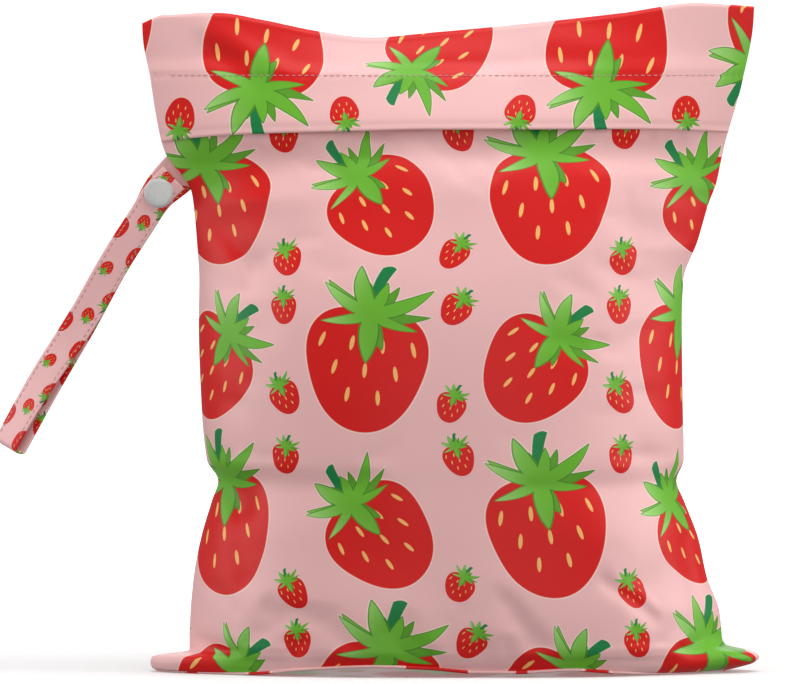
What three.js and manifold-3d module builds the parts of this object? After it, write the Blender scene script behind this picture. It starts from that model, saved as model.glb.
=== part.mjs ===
// A cloth diaper wet bag, filled out and standing on its base: a front panel and a back panel of laminated
// cloth are sewn together at the sides and along the front's foot, the back panel makes the base, folds
// forward over the top and hangs as a flap over the zipper, and a strap that snaps to itself hangs from the
// left seam. Millimetres, +Z up, the front faces -Y, +X is to the right seen from the front. The origin is
// the middle of the base.
import * as THREE from "three";
import { mergeVertices } from "three/addons/utils/BufferGeometryUtils.js";
import Module from "manifold-3d";

const wasm = await Module();
wasm.setup();

// The bag as a whole.
const FLAT_WIDTH = 300; // seam to seam when it lies flat and empty
const HEIGHT = 327.5; // floor to the highest point of the folded top edge
const FRONT_BULGE = 57; // the fullest point of the front, from the seam plane
const BACK_BULGE = 51; // the fullest point of the back, from the seam plane
const CLOTH = 1.5; // wall of laminated cloth
const CLEARANCE = 0.3; // gap between pieces that touch
const SEAM_Y = (FRONT_BULGE - BACK_BULGE) / 2; // keeps the origin halfway between front and back

// The flap and the zipper that it covers, measured down from the top edge.
const FLAP_DROP = 62; // to the flap's lower edge
const STITCH_DROP = 36; // to the row of stitches that holds the zipper
const ZIPPER_WIDTH = 12; // the closed zipper between the front panel's hem and the stitches
const FLAP_STAND_OFF = 2.2; // how far the flap's lower edge stands clear of the front panel
const TOP_FOLD_RISE = 3; // height of the rolled fold along the top edge

// The strap: a ribbon doubled on itself, its two layers in the seam plane's front and back.
const STRAP_WIDTH = 15;
const STRAP_THICKNESS = 1.6;
const STRAP_LENGTH = 156; // from the seam to the fold at its far end
const STRAP_ROOT = 250.5; // height of its root on the side seam
const STRAP_ROOT_WIDTH = 20; // the back layer is sewn into the seam flattened out
const STRAP_FLARE = 26; // how far the back layer takes to narrow to the strap's width
const STRAP_END = 10.5; // how far the front layer goes on past the snap
const STRAP_FOLD_RADIUS = 1.9; // of the turn at the far end, at the ribbon's middle
const STRAP_SPREAD = 3; // how far the back layer shows beside the front one at the far end

// The plastic snap.
const SNAP_DIAMETER = 14.4;
const SNAP_CAP_HEIGHT = 2.2;
const SNAP_POST_DIAMETER = 3.4;
const SNAP_SOCKET_DIAMETER = 10.5;
const SNAP_SOCKET_HEIGHT = 2.6;
const SNAP_PLACE = 14.4; // along the strap, from the seam to the snap's centre

// Each level of the bag. Height is a share of HEIGHT, left and right are the seams' distance from the
// middle as shares of half of FLAT_WIDTH, and bulge is a share of FRONT_BULGE or BACK_BULGE. Square and
// round shape the level's outline: the bulge at a share a of the half width is (1 - a ^ square) ^ round.
const LEVELS = [
  { height: 0.0, left: 0.86, right: 0.8, bulge: 0.84, square: 3.6, round: 0.78 },
  { height: 0.0061, left: 0.863, right: 0.83, bulge: 0.885, square: 3.5, round: 0.76 },
  { height: 0.0137, left: 0.865, right: 0.855, bulge: 0.915, square: 3.4, round: 0.74 },
  { height: 0.0213, left: 0.866, right: 0.864, bulge: 0.94, square: 3.3, round: 0.73 },
  { height: 0.029, left: 0.867, right: 0.866, bulge: 0.955, square: 3.3, round: 0.72 },
  { height: 0.0359, left: 0.868, right: 0.867, bulge: 0.965, square: 3.2, round: 0.71 },
  { height: 0.0419, left: 0.868, right: 0.867, bulge: 0.97, square: 3.2, round: 0.7 },
  { height: 0.0526, left: 0.868, right: 0.866, bulge: 0.98, square: 3.1, round: 0.7 },
  { height: 0.09, left: 0.865, right: 0.858, bulge: 0.99, square: 3.1, round: 0.69 },
  { height: 0.142, left: 0.855, right: 0.817, bulge: 1.0, square: 2.9, round: 0.66 },
  { height: 0.198, left: 0.832, right: 0.79, bulge: 1.0, square: 2.8, round: 0.65 },
  { height: 0.256, left: 0.795, right: 0.742, bulge: 0.99, square: 2.8, round: 0.65 },
  { height: 0.285, left: 0.775, right: 0.718, bulge: 0.985, square: 2.8, round: 0.65 },
  { height: 0.316, left: 0.812, right: 0.742, bulge: 0.99, square: 2.8, round: 0.65 },
  { height: 0.405, left: 0.83, right: 0.738, bulge: 0.99, square: 2.7, round: 0.66 },
  { height: 0.524, left: 0.838, right: 0.735, bulge: 0.95, square: 2.6, round: 0.7 },
  { height: 0.585, left: 0.836, right: 0.74, bulge: 0.9, square: 2.5, round: 0.75 },
  { height: 0.643, left: 0.843, right: 0.785, bulge: 0.82, square: 2.4, round: 0.82 },
  { height: 0.704, left: 0.853, right: 0.823, bulge: 0.7, square: 2.3, round: 0.9 },
  { height: 0.734, left: 0.862, right: 0.847, bulge: 0.63, square: 2.2, round: 0.96 },
  { height: 0.765, left: 0.9, right: 0.861, bulge: 0.56, square: 2.2, round: 1.0 },
  { height: 0.796, left: 0.948, right: 0.876, bulge: 0.49, square: 2.2, round: 1.0 },
  { height: 0.881, left: 0.993, right: 0.931, bulge: 0.29, square: 2.2, round: 1.0 },
  { height: 0.97, left: 1.02, right: 0.967, bulge: 0.09, square: 2.2, round: 1.0 },
  { height: 1.0, left: 1.022, right: 0.97, bulge: 0.03, square: 2.2, round: 1.0 },
];

// What the two bottom corners, which lie on the floor like dog ears, reach beyond the levels, as shares of
// half of FLAT_WIDTH.
const EARS = [
  { height: 0.0, left: 0.07, right: 0.02 },
  { height: 0.0061, left: 0.115, right: 0.09 },
  { height: 0.0137, left: 0.137, right: 0.135 },
  { height: 0.0213, left: 0.13, right: 0.13 },
  { height: 0.029, left: 0.1, right: 0.1 },
  { height: 0.0359, left: 0.045, right: 0.05 },
  { height: 0.0419, left: 0.012, right: 0.015 },
  { height: 0.0526, left: 0.0, right: 0.0 },
  { height: 1.0, left: 0.0, right: 0.0 },
];
const EAR_START = 0.78; // share of the half width from which a corner draws out into its ear
const BOXY_ROUND = 0.65; // the roundness at which the sides turn in square to the seam plane

// The height of the seam along the front's foot, where the front panel ends at the base, as a share of
// HEIGHT, across the bag from -1 at the left seam to 1 at the right seam.
const FOOT_SEAM = [
  { across: -1.0, height: 0.0137 },
  { across: -0.8, height: 0.0048 },
  { across: -0.56, height: 0.0097 },
  { across: -0.3, height: 0.0133 },
  { across: -0.1, height: 0.0097 },
  { across: 0.1, height: 0.0054 },
  { across: 0.25, height: 0.006 },
  { across: 0.45, height: 0.009 },
  { across: 0.65, height: 0.006 },
  { across: 0.85, height: 0.0066 },
  { across: 1.0, height: 0.0137 },
];
const FOOT_TOP = 0.0213; // share of HEIGHT from which the front panel's rows run level

// How far the top edge and the flap's lower edge sag below their heights, as shares of HEIGHT, across the
// bag from -1 at the left seam to 1 at the right seam.
const SAG = [
  { across: -1.0, top: 0.03, hem: 0.021 },
  { across: -0.93, top: 0.018, hem: 0.016 },
  { across: -0.75, top: 0.019, hem: 0.009 },
  { across: -0.6, top: 0.031, hem: 0.006 },
  { across: -0.43, top: 0.048, hem: 0.004 },
  { across: -0.26, top: 0.058, hem: 0.002 },
  { across: -0.05, top: 0.049, hem: 0.0 },
  { across: 0.33, top: 0.031, hem: 0.0 },
  { across: 0.58, top: 0.018, hem: 0.0 },
  { across: 0.82, top: 0.0, hem: 0.002 },
  { across: 1.0, top: 0.003, hem: 0.006 },
];
const SAG_FADE = 0.55; // share of HEIGHT under which the hem's sag has died out

// The main folds and hollows: each runs straight from one place to another, depth is a share of FRONT_BULGE
// and is negative on a swelling, and reach is its half width as a share of HEIGHT.
const FRONT_FOLDS = [
  { fold: "hollow under the flap", a0: -0.95, h0: 0.77, a1: 0.9, h1: 0.781, depth: 0.06, reach: 0.03 },
  { fold: "drag from the strap", a0: -0.97, h0: 0.709, a1: -0.78, h1: 0.608, depth: 0.075, reach: 0.024 },
  { fold: "drag's lower end", a0: -0.78, h0: 0.608, a1: -0.72, h1: 0.535, depth: 0.04, reach: 0.03 },
  { fold: "swelling by the strap", a0: -0.8, h0: 0.732, a1: -0.6, h1: 0.717, depth: -0.045, reach: 0.04 },
  { fold: "belly hollow", a0: -0.5, h0: 0.687, a1: 0.1, h1: 0.661, depth: 0.06, reach: 0.09 },
  { fold: "pinch at the left seam", a0: -1.0, h0: 0.293, a1: -0.86, h1: 0.244, depth: 0.085, reach: 0.022 },
  { fold: "pinch at the right seam", a0: 1.0, h0: 0.298, a1: 0.84, h1: 0.323, depth: 0.055, reach: 0.024 },
  { fold: "pleat above the right corner", a0: 0.95, h0: 0.196, a1: 0.92, h1: 0.075, depth: 0.07, reach: 0.016 },
  { fold: "crease at the left corner", a0: -0.97, h0: 0.06, a1: -0.84, h1: 0.035, depth: 0.05, reach: 0.018 },
  { fold: "crease at the right corner", a0: 0.97, h0: 0.06, a1: 0.86, h1: 0.035, depth: 0.05, reach: 0.018 },
  { fold: "low right swelling", a0: 0.55, h0: 0.263, a1: 0.65, h1: 0.196, depth: -0.04, reach: 0.08 },
  { fold: "low middle hollow", a0: -0.35, h0: 0.196, a1: -0.1, h1: 0.147, depth: 0.03, reach: 0.07 },
];
const BACK_FOLDS = [
  { fold: "hollow under the top", a0: -0.85, h0: 0.859, a1: 0.85, h1: 0.848, depth: 0.05, reach: 0.06 },
  { fold: "drag from the strap", a0: -0.97, h0: 0.717, a1: -0.7, h1: 0.596, depth: 0.07, reach: 0.028 },
  { fold: "long slanting hollow", a0: 0.75, h0: 0.677, a1: 0.2, h1: 0.495, depth: 0.06, reach: 0.06 },
  { fold: "pinch at the left seam", a0: -1.0, h0: 0.293, a1: -0.84, h1: 0.263, depth: 0.08, reach: 0.022 },
  { fold: "pinch at the right seam", a0: 1.0, h0: 0.298, a1: 0.82, h1: 0.273, depth: 0.06, reach: 0.024 },
  { fold: "crease at the left corner", a0: -0.97, h0: 0.06, a1: -0.84, h1: 0.035, depth: 0.05, reach: 0.018 },
  { fold: "crease at the right corner", a0: 0.97, h0: 0.06, a1: 0.86, h1: 0.035, depth: 0.05, reach: 0.018 },
  { fold: "low middle swelling", a0: -0.2, h0: 0.293, a1: 0.2, h1: 0.254, depth: -0.04, reach: 0.1 },
];

// Mesh steps.
const COLUMNS = 26;
const ROW_STEP = 12; // between rows on the plain wall
const BASE_ROWS = [0, 0.12, 0.5, 0.88, 1]; // across the flat base, from its front rim to its rear rim
const TOP_FOLD_STEPS = 4;

const FRONT = -1;
const BACK = 1;
const mix = (a, b, t) => a + (b - a) * t;
const ease = (t) => THREE.MathUtils.smoothstep(t, 0, 1);

// A column of a table at a place, by a cubic through its rows that never overshoots them.
function along(rows, key, column, place) {
  let i = 0;
  while (i < rows.length - 2 && place > rows[i + 1][key]) i++;
  const slopeOf = (k) => (rows[k + 1][column] - rows[k][column]) / (rows[k + 1][key] - rows[k][key]);
  const tangent = (k) => {
    if (k === 0) return slopeOf(0);
    if (k === rows.length - 1) return slopeOf(k - 1);
    const before = slopeOf(k - 1);
    const after = slopeOf(k);
    return before * after <= 0 ? 0 : (2 * before * after) / (before + after);
  };
  const run = rows[i + 1][key] - rows[i][key];
  const t = THREE.MathUtils.clamp((place - rows[i][key]) / run, 0, 1);
  return (
    rows[i][column] * (1 + 2 * t) * (1 - t) ** 2 +
    tangent(i) * run * t * (1 - t) ** 2 +
    rows[i + 1][column] * t * t * (3 - 2 * t) +
    tangent(i + 1) * run * t * t * (t - 1)
  );
}

// The level of the bag at a height: its seams' places, its bulges, and how square its sides stand to the
// seam plane.
function levelAt(height) {
  const share = height / HEIGHT;
  const left = (-along(LEVELS, "height", "left", share) * FLAT_WIDTH) / 2;
  const right = (along(LEVELS, "height", "right", share) * FLAT_WIDTH) / 2;
  const round = along(LEVELS, "height", "round", share);
  return {
    middle: (left + right) / 2,
    half: (right - left) / 2,
    bulge: along(LEVELS, "height", "bulge", share),
    leftEar: (along(EARS, "height", "left", share) * FLAT_WIDTH) / 2,
    rightEar: (along(EARS, "height", "right", share) * FLAT_WIDTH) / 2,
    square: along(LEVELS, "height", "square", share),
    round,
    turn: THREE.MathUtils.clamp((1 - round) / (1 - BOXY_ROUND), 0, 1),
  };
}

// The height of a point once its row has sagged between the seams.
function sagged(across, height) {
  const hem = HEIGHT - FLAP_DROP;
  const stitches = HEIGHT - STITCH_DROP;
  const hemSag = along(SAG, "across", "hem", across) * HEIGHT;
  if (height <= hem) return height - hemSag * ease((height - SAG_FADE * HEIGHT) / (hem - SAG_FADE * HEIGHT));
  if (height <= stitches) return height - hemSag * (1 - (height - hem) / (stitches - hem));
  const topSag = along(SAG, "across", "top", across) * HEIGHT;
  return height - (topSag * (height - stitches)) / STITCH_DROP;
}

// How deep the folds of one side press the cloth in at a place: each is a bell across a straight line.
function foldDepth(side, across, height) {
  const point = new THREE.Vector2((across * FLAT_WIDTH) / 2, height);
  let depth = 0;
  for (const f of side === FRONT ? FRONT_FOLDS : BACK_FOLDS) {
    const start = new THREE.Vector2((f.a0 * FLAT_WIDTH) / 2, f.h0 * HEIGHT);
    const line = new THREE.Vector2((f.a1 * FLAT_WIDTH) / 2, f.h1 * HEIGHT).sub(start);
    const t = THREE.MathUtils.clamp(point.clone().sub(start).dot(line) / line.lengthSq(), 0, 1);
    const distance = point.distanceTo(start.addScaledVector(line, t));
    depth += f.depth * FRONT_BULGE * Math.exp(-((distance / (f.reach * HEIGHT)) ** 2));
  }
  return depth;
}

// A point of the bag's outer skin, lifted outwards in depth by lift.
function skin(side, across, height, lift = 0) {
  const level = levelAt(height);
  const ear = across < 0 ? -level.leftEar : level.rightEar;
  const drawnOut = ear * ease((Math.abs(across) - EAR_START) / (1 - EAR_START));
  const fullness = (1 - Math.abs(across) ** level.square) ** level.round;
  const bulge = level.bulge * (side === FRONT ? FRONT_BULGE : BACK_BULGE);
  const pressed = foldDepth(side, across, height) * Math.sqrt(fullness);
  const proud = CLEARANCE / 2 + CLOTH * (1 - level.turn) + Math.max(bulge * fullness - pressed, 0);
  return new THREE.Vector3(
    level.middle + across * level.half + drawnOut,
    SEAM_Y + side * (proud + lift),
    sagged(across, height),
  );
}

// The columns lie closer together towards the seams, where the cloth turns in.
const columns = Array.from({ length: COLUMNS + 1 }, (_, i) => Math.sin(Math.PI * (i / COLUMNS - 0.5)));

// Heights for the rows of one panel from bottom to top: each level of the table between them, and steps
// between those far apart.
function rowHeights(bottom, top) {
  const heights = [bottom];
  for (const { height } of LEVELS) {
    const next = height * HEIGHT;
    if (next <= bottom) continue;
    if (next > top) break;
    const last = heights.at(-1);
    const steps = Math.max(1, Math.round((next - last) / ROW_STEP));
    for (let k = 1; k <= steps; k++) heights.push(mix(last, next, k / steps));
  }
  if (top - heights.at(-1) < ROW_STEP / 3) heights.pop();
  return [...heights, top];
}

// The height of the seam along the front's foot.
const footSeam = (across) => along(FOOT_SEAM, "across", "height", across) * HEIGHT;

// The direction up a sheet at one of its points, and the one square to it: away from the bag on the back
// and the base, towards it on the front.
function sheetDirections(rows, i, j) {
  const last = rows[0].length - 1;
  const up = rows[Math.min(i + 1, rows.length - 1)][j].clone().sub(rows[Math.max(i - 1, 0)][j]);
  const over = rows[i][Math.min(j + 1, last)].clone().sub(rows[i][Math.max(j - 1, 0)]);
  return { up, square: up.clone().cross(over).normalize() };
}

// The inner place of one point of a wall: one wall inwards, square to the faces round it, and on its own
// side of the seam plane. In the seams the edge turns in square where the sides are boxy and lies flat
// elsewhere.
function wallInside(rows, i, j, side, height) {
  const { up, square } = sheetDirections(rows, i, j);
  if (j === 0 || j === rows[0].length - 1) {
    const { turn } = levelAt(height);
    const inPlane = new THREE.Vector3(up.z, 0, -up.x).normalize();
    const inner = rows[i][j].clone().addScaledVector(inPlane, (j === 0 ? 1 : -1) * CLOTH * turn);
    inner.y -= side * CLOTH * (1 - turn);
    return inner;
  }
  const inner = rows[i][j].clone().addScaledVector(square, -side * CLOTH);
  const limit = SEAM_Y + (side * CLEARANCE) / 2;
  inner.y = side === FRONT ? Math.min(inner.y, limit) : Math.max(inner.y, limit);
  return inner;
}

// A point moved back by one wall, as far as the seam plane lets it.
const oneWallBack = (point) => point.clone().setY(Math.min(point.y + CLOTH, SEAM_Y - CLEARANCE / 2));

// A closed sheet between an outer and an inner grid of points, joined along all four edges.
function sheetGeometry(outer, inner) {
  const rowCount = outer.length;
  const columnCount = outer[0].length;
  const points = [...outer.flat(), ...inner.flat()];
  const lastColumn = columnCount - 1;
  const lastRow = rowCount - 1;
  const at = (i, j, layer) => layer * rowCount * columnCount + i * columnCount + j;
  const index = [];
  const quad = (a, b, c, d) => index.push(a, b, c, a, c, d);
  for (let i = 0; i < rowCount - 1; i++) {
    for (let j = 0; j < columnCount - 1; j++) {
      quad(at(i, j, 0), at(i, j + 1, 0), at(i + 1, j + 1, 0), at(i + 1, j, 0));
      quad(at(i, j, 1), at(i + 1, j, 1), at(i + 1, j + 1, 1), at(i, j + 1, 1));
    }
    quad(at(i, 0, 0), at(i + 1, 0, 0), at(i + 1, 0, 1), at(i, 0, 1));
    quad(at(i + 1, lastColumn, 0), at(i, lastColumn, 0), at(i, lastColumn, 1), at(i + 1, lastColumn, 1));
  }
  for (let j = 0; j < columnCount - 1; j++) {
    quad(at(0, j + 1, 0), at(0, j, 0), at(0, j, 1), at(0, j + 1, 1));
    quad(at(lastRow, j, 0), at(lastRow, j + 1, 0), at(lastRow, j + 1, 1), at(lastRow, j, 1));
  }
  return new THREE.BufferGeometry().setFromPoints(points).setIndex(index);
}

// A geometry as a manifold-3d solid with its faces outwards, and a solid as a geometry.
function solidOf(geometry) {
  const bare = geometry.clone();
  bare.deleteAttribute("normal");
  bare.deleteAttribute("uv");
  const merged = mergeVertices(bare, 1e-4);
  const corners = merged.index.array;
  const triVerts = [];
  for (let i = 0; i < corners.length; i += 3) {
    const [a, b, c] = corners.slice(i, i + 3);
    if (a !== b && b !== c && c !== a) triVerts.push(a, b, c);
  }
  const make = (order) =>
    new wasm.Manifold(
      new wasm.Mesh({
        numProp: 3,
        vertProperties: merged.attributes.position.array,
        triVerts: new Uint32Array(order),
      }),
    );
  const solid = make(triVerts);
  return solid.volume() > 0 ? solid : make(triVerts.toReversed());
}

function geometryOf(solid) {
  const mesh = solid.getMesh();
  const geometry = new THREE.BufferGeometry();
  geometry.setAttribute("position", new THREE.BufferAttribute(mesh.vertProperties, 3));
  geometry.setIndex(new THREE.BufferAttribute(mesh.triVerts, 1));
  geometry.computeVertexNormals();
  return geometry;
}

// The front panel: the wall from the seam at its foot up to its hem, which the flap hides.
const ZIPPER_FOOT = HEIGHT - STITCH_DROP - ZIPPER_WIDTH; // the front panel's hem ends here

function frontPanel() {
  const foot = FOOT_TOP * HEIGHT;
  const heights = [0, foot / 2, ...rowHeights(foot, ZIPPER_FOOT)];
  const rows = heights.map((h) =>
    columns.map((a) => skin(FRONT, a, h < foot ? mix(footSeam(a), foot, h / foot) : h)),
  );
  const inner = rows.map((row, i) =>
    row.map((point, j) => (i === 0 ? oneWallBack(point) : wallInside(rows, i, j, FRONT, heights[i]))),
  );
  return sheetGeometry(rows, inner);
}

// The zipper: one plain closed strip that goes on from the front panel's hem up to the stitches.
function zipper() {
  const rises = [CLEARANCE, ZIPPER_WIDTH / 2, ZIPPER_WIDTH - CLEARANCE];
  const rows = rises.map((rise) => columns.map((a) => skin(FRONT, a, ZIPPER_FOOT + rise)));
  const inner = rows.map((row) => row.map((p) => p.clone().setY(p.y + CLOTH)));
  return sheetGeometry(rows, inner);
}

// How far the flap's outer face lies in front of the skin: over the front panel and the zipper it clears
// them both and stands off more towards its free edge, except in the seams, and above the stitches it is
// the skin itself.
function flapLift(across, height) {
  const stitches = HEIGHT - STITCH_DROP;
  const hem = HEIGHT - FLAP_DROP;
  if (height >= stitches) return (CLOTH + CLEARANCE) * (1 - ease((height - stitches) / (STITCH_DROP / 3)));
  const free = FLAP_STAND_OFF * (1 - across ** 4);
  return CLOTH + CLEARANCE + free * ease((stitches - height) / (stitches - hem));
}

// The back panel: a lip up to the seam at the front's foot, the flat base, the back wall, the roll over the
// top edge, and the flap down to its hem.
function backPanelAndFlap() {
  const foldHeight = HEIGHT - TOP_FOLD_RISE;
  const wallHeights = rowHeights(0, foldHeight).slice(1);
  const stitches = HEIGHT - STITCH_DROP;
  const hem = HEIGHT - FLAP_DROP;
  const flap = [
    ...[0, 0.4, 0.75].map((share) => mix(foldHeight, stitches, share)),
    ...[0, 0.33, 0.67, 1].map((share) => mix(stitches, hem, share)),
  ];
  const lip = columns.map((a) => skin(FRONT, a, footSeam(a) - CLEARANCE));
  const base = BASE_ROWS.map((share) => columns.map((a) => skin(FRONT, a, 0).lerp(skin(BACK, a, 0), share)));
  const outerBack = [lip, ...base, ...wallHeights.map((h) => columns.map((a) => skin(BACK, a, h)))];
  const outerFlap = flap.map((h) => columns.map((a) => skin(FRONT, a, h, flapLift(a, h))));
  const roll = (inset) =>
    Array.from({ length: TOP_FOLD_STEPS - 1 }, (_, k) => {
      const turn = (Math.PI * (k + 1)) / TOP_FOLD_STEPS;
      return columns.map((_, j) => {
        const rear = outerBack.at(-1)[j];
        const fore = outerFlap[0][j];
        const radius = (rear.y - fore.y) / 2 - inset;
        const rise = Math.min(TOP_FOLD_RISE, radius + inset) - inset;
        const depth = (rear.y + fore.y) / 2 + radius * Math.cos(turn);
        return new THREE.Vector3(rear.x, depth, rear.z + rise * Math.sin(turn));
      });
    });
  const heights = [0, ...BASE_ROWS.map(() => 0), ...wallHeights];
  const innerBack = outerBack.map((row, i) =>
    row.map((point, j) => {
      if (i === 0) return oneWallBack(point);
      if (i <= base.length) return point.clone().setZ(CLOTH);
      return wallInside(outerBack, i, j, BACK, heights[i]);
    }),
  );
  const innerFlap = outerFlap.map((row) =>
    row.map((point) => point.clone().setY(Math.min(point.y + CLOTH, SEAM_Y - CLEARANCE / 2))),
  );
  return sheetGeometry(
    [...outerBack, ...roll(0), ...outerFlap],
    [...innerBack, ...roll(CLOTH), ...innerFlap],
  );
}

// The bag's outer form as one closed solid, lifted by the clearance: what joins the bag is cut back to it.
function bagEnvelope() {
  const heights = rowHeights(0, HEIGHT - TOP_FOLD_RISE);
  const lift = (side, h) => (side === FRONT && h > ZIPPER_FOOT ? CLEARANCE + CLOTH : CLEARANCE);
  const rows = (side) => heights.map((h) => columns.map((a) => skin(side, a, h, lift(side, h))));
  return solidOf(sheetGeometry(rows(FRONT), rows(BACK)));
}

// The strap's way, as shares of its length, out to the left and down from its root: it leaves square to the
// slanting seam and bends down to hang straight. The first place lies inside the bag, so that it reaches
// the seam.
const STRAP_WAY = [
  { out: -0.03, down: -0.03 },
  { out: 0.0, down: 0.0 },
  { out: 0.064, down: 0.065 },
  { out: 0.113, down: 0.142 },
  { out: 0.199, down: 0.276 },
  { out: 0.305, down: 0.465 },
  { out: 0.42, down: 0.655 },
  { out: 0.528, down: 0.851 },
];
const strapRoot = skin(BACK, -1, STRAP_ROOT).setY(SEAM_Y);
const strapCurve = new THREE.CatmullRomCurve3(
  STRAP_WAY.map(({ out, down }) =>
    new THREE.Vector3(-out, 0, -down).multiplyScalar(STRAP_LENGTH).add(strapRoot),
  ),
);
const hiddenLength = strapCurve.points[0].distanceTo(strapRoot);

// A place on the strap's middle line at a distance from the seam, with its directions along and across the
// strap.
function strapPlace(distance) {
  const share = THREE.MathUtils.clamp((hiddenLength + distance) / strapCurve.getLength(), 0, 1);
  const heading = strapCurve.getTangentAt(share);
  return { centre: strapCurve.getPointAt(share), heading, wide: new THREE.Vector3(-heading.z, 0, heading.x) };
}

// Half of the distance between the middles of the strap's two layers: the snap's hidden half holds them
// apart.
const layerAtSnap = SNAP_SOCKET_HEIGHT / 2 + CLEARANCE + STRAP_THICKNESS / 2;
const layerDistance = (distance) =>
  mix(STRAP_FOLD_RADIUS, layerAtSnap, Math.exp(-(((distance - SNAP_PLACE) / (2 * SNAP_DIAMETER)) ** 2)));

// One place of a layer of the ribbon. The back layer is flared at the seam and shows beside the front one
// lower down.
function layerStation(side, distance) {
  const { centre, heading, wide } = strapPlace(distance);
  const spread = STRAP_SPREAD * ease((distance / STRAP_LENGTH - 0.5) / 0.5);
  centre.addScaledVector(wide, (side * spread) / 2);
  centre.y += side * layerDistance(distance);
  const flare = side === BACK ? 1 - ease(distance / STRAP_FLARE) : 0;
  const width = mix(STRAP_WIDTH, STRAP_ROOT_WIDTH, flare);
  return { centre, heading, wide, through: new THREE.Vector3(0, side, 0), width };
}

// A ribbon with rounded edges along stations, each with a centre, a width, and directions across and
// through it.
const RIBBON_EDGE = [
  [-0.5, -0.2],
  [-0.47, -0.5],
  [0.47, -0.5],
  [0.5, -0.2],
  [0.5, 0.2],
  [0.47, 0.5],
  [-0.47, 0.5],
  [-0.5, 0.2],
];
function ribbonSolid(stations, thickness) {
  const ring = ({ centre, wide, through, width }) =>
    RIBBON_EDGE.map(([u, v]) =>
      centre.clone().addScaledVector(wide, u * width).addScaledVector(through, v * thickness),
    );
  const rings = stations.map(ring);
  const count = RIBBON_EDGE.length;
  const index = [];
  for (let i = 0; i < rings.length - 1; i++) {
    for (let k = 0; k < count; k++) {
      const a = i * count + k;
      const b = i * count + ((k + 1) % count);
      index.push(a, b, b + count, a, b + count, a + count);
    }
  }
  const last = (rings.length - 1) * count;
  for (let k = 1; k < count - 1; k++) index.push(0, k + 1, k, last, last + k, last + k + 1);
  return solidOf(new THREE.BufferGeometry().setFromPoints(rings.flat()).setIndex(index));
}

// The snap's axis runs from front to back through both layers: a frame with its Y towards the front.
function snapFrame() {
  const { centre, wide } = strapPlace(SNAP_PLACE);
  const outwards = new THREE.Vector3(0, FRONT, 0);
  return new THREE.Matrix4().makeBasis(wide, outwards, wide.clone().cross(outwards)).setPosition(centre);
}

function carryStrap() {
  const steps = 16;
  const layer = (side, from) =>
    Array.from({ length: steps + 1 }, (_, k) => layerStation(side, mix(from, STRAP_LENGTH, k / steps)));
  const backLayer = layer(BACK, -hiddenLength);
  const frontLayer = layer(FRONT, SNAP_PLACE - STRAP_END).reverse();
  const turnSteps = 5;
  const rear = backLayer.at(-1);
  const turn = Array.from({ length: turnSteps - 1 }, (_, k) => {
    const angle = (Math.PI * (k + 1)) / turnSteps;
    const centre = rear.centre.clone().lerp(frontLayer[0].centre, (1 - Math.cos(angle)) / 2);
    centre.addScaledVector(rear.heading, STRAP_FOLD_RADIUS * Math.sin(angle));
    const through = new THREE.Vector3(0, Math.cos(angle), 0).addScaledVector(rear.heading, Math.sin(angle));
    return { ...rear, centre, through };
  });
  const ribbon = ribbonSolid([...backLayer, ...turn, ...frontLayer], STRAP_THICKNESS);
  const postHole = SNAP_POST_DIAMETER / 2 + CLEARANCE;
  const bore = new THREE.CylinderGeometry(postHole, postHole, 4 * layerAtSnap, 12).applyMatrix4(snapFrame());
  return geometryOf(ribbon.subtract(solidOf(bore)).subtract(bagEnvelope()));
}

// A snap's cap: a low dome with a rounded rim and a post on its underside that goes through its layer of
// the strap.
function snapCap(side) {
  const rim = SNAP_DIAMETER / 2;
  const post = SNAP_POST_DIAMETER / 2;
  const underside = layerAtSnap + STRAP_THICKNESS / 2 + CLEARANCE;
  const postEnd = SNAP_SOCKET_HEIGHT / 2 + CLEARANCE;
  const profile = [
    [0, postEnd],
    [post, postEnd],
    [post, underside],
    [rim * 0.94, underside],
    [rim, underside + SNAP_CAP_HEIGHT * 0.3],
    [rim * 0.97, underside + SNAP_CAP_HEIGHT * 0.62],
    [rim * 0.86, underside + SNAP_CAP_HEIGHT * 0.84],
    [rim * 0.5, underside + SNAP_CAP_HEIGHT * 0.97],
    [0, underside + SNAP_CAP_HEIGHT],
  ];
  const cap = new THREE.LatheGeometry(profile.map(([r, y]) => new THREE.Vector2(r, y)), 24);
  if (side === BACK) cap.rotateX(Math.PI);
  cap.applyMatrix4(snapFrame());
  return geometryOf(solidOf(cap));
}

// The joined socket and stud between the strap's layers, hidden, as one plain disc with a rounded edge.
function snapSocket() {
  const r = SNAP_SOCKET_DIAMETER / 2;
  const h = SNAP_SOCKET_HEIGHT / 2;
  const profile = [
    [0, -h],
    [r * 0.9, -h],
    [r, -h * 0.5],
    [r, h * 0.5],
    [r * 0.9, h],
    [0, h],
  ];
  const disc = new THREE.LatheGeometry(profile.map(([x, y]) => new THREE.Vector2(x, y)), 20);
  disc.applyMatrix4(snapFrame());
  return geometryOf(solidOf(disc));
}

const printedCloth = new THREE.MeshStandardMaterial({ color: 0xf0bfc0, roughness: 0.75, metalness: 0 });
const strapCloth = new THREE.MeshStandardMaterial({ color: 0xf3c6c6, roughness: 0.75, metalness: 0 });
const zipperTape = new THREE.MeshStandardMaterial({ color: 0xe9dedd, roughness: 0.7, metalness: 0 });
const snapPlastic = new THREE.MeshStandardMaterial({ color: 0xd5d9da, roughness: 0.35, metalness: 0 });

function named(name, geometry, material) {
  const mesh = new THREE.Mesh(geometry, material);
  mesh.name = name;
  return mesh;
}

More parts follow.
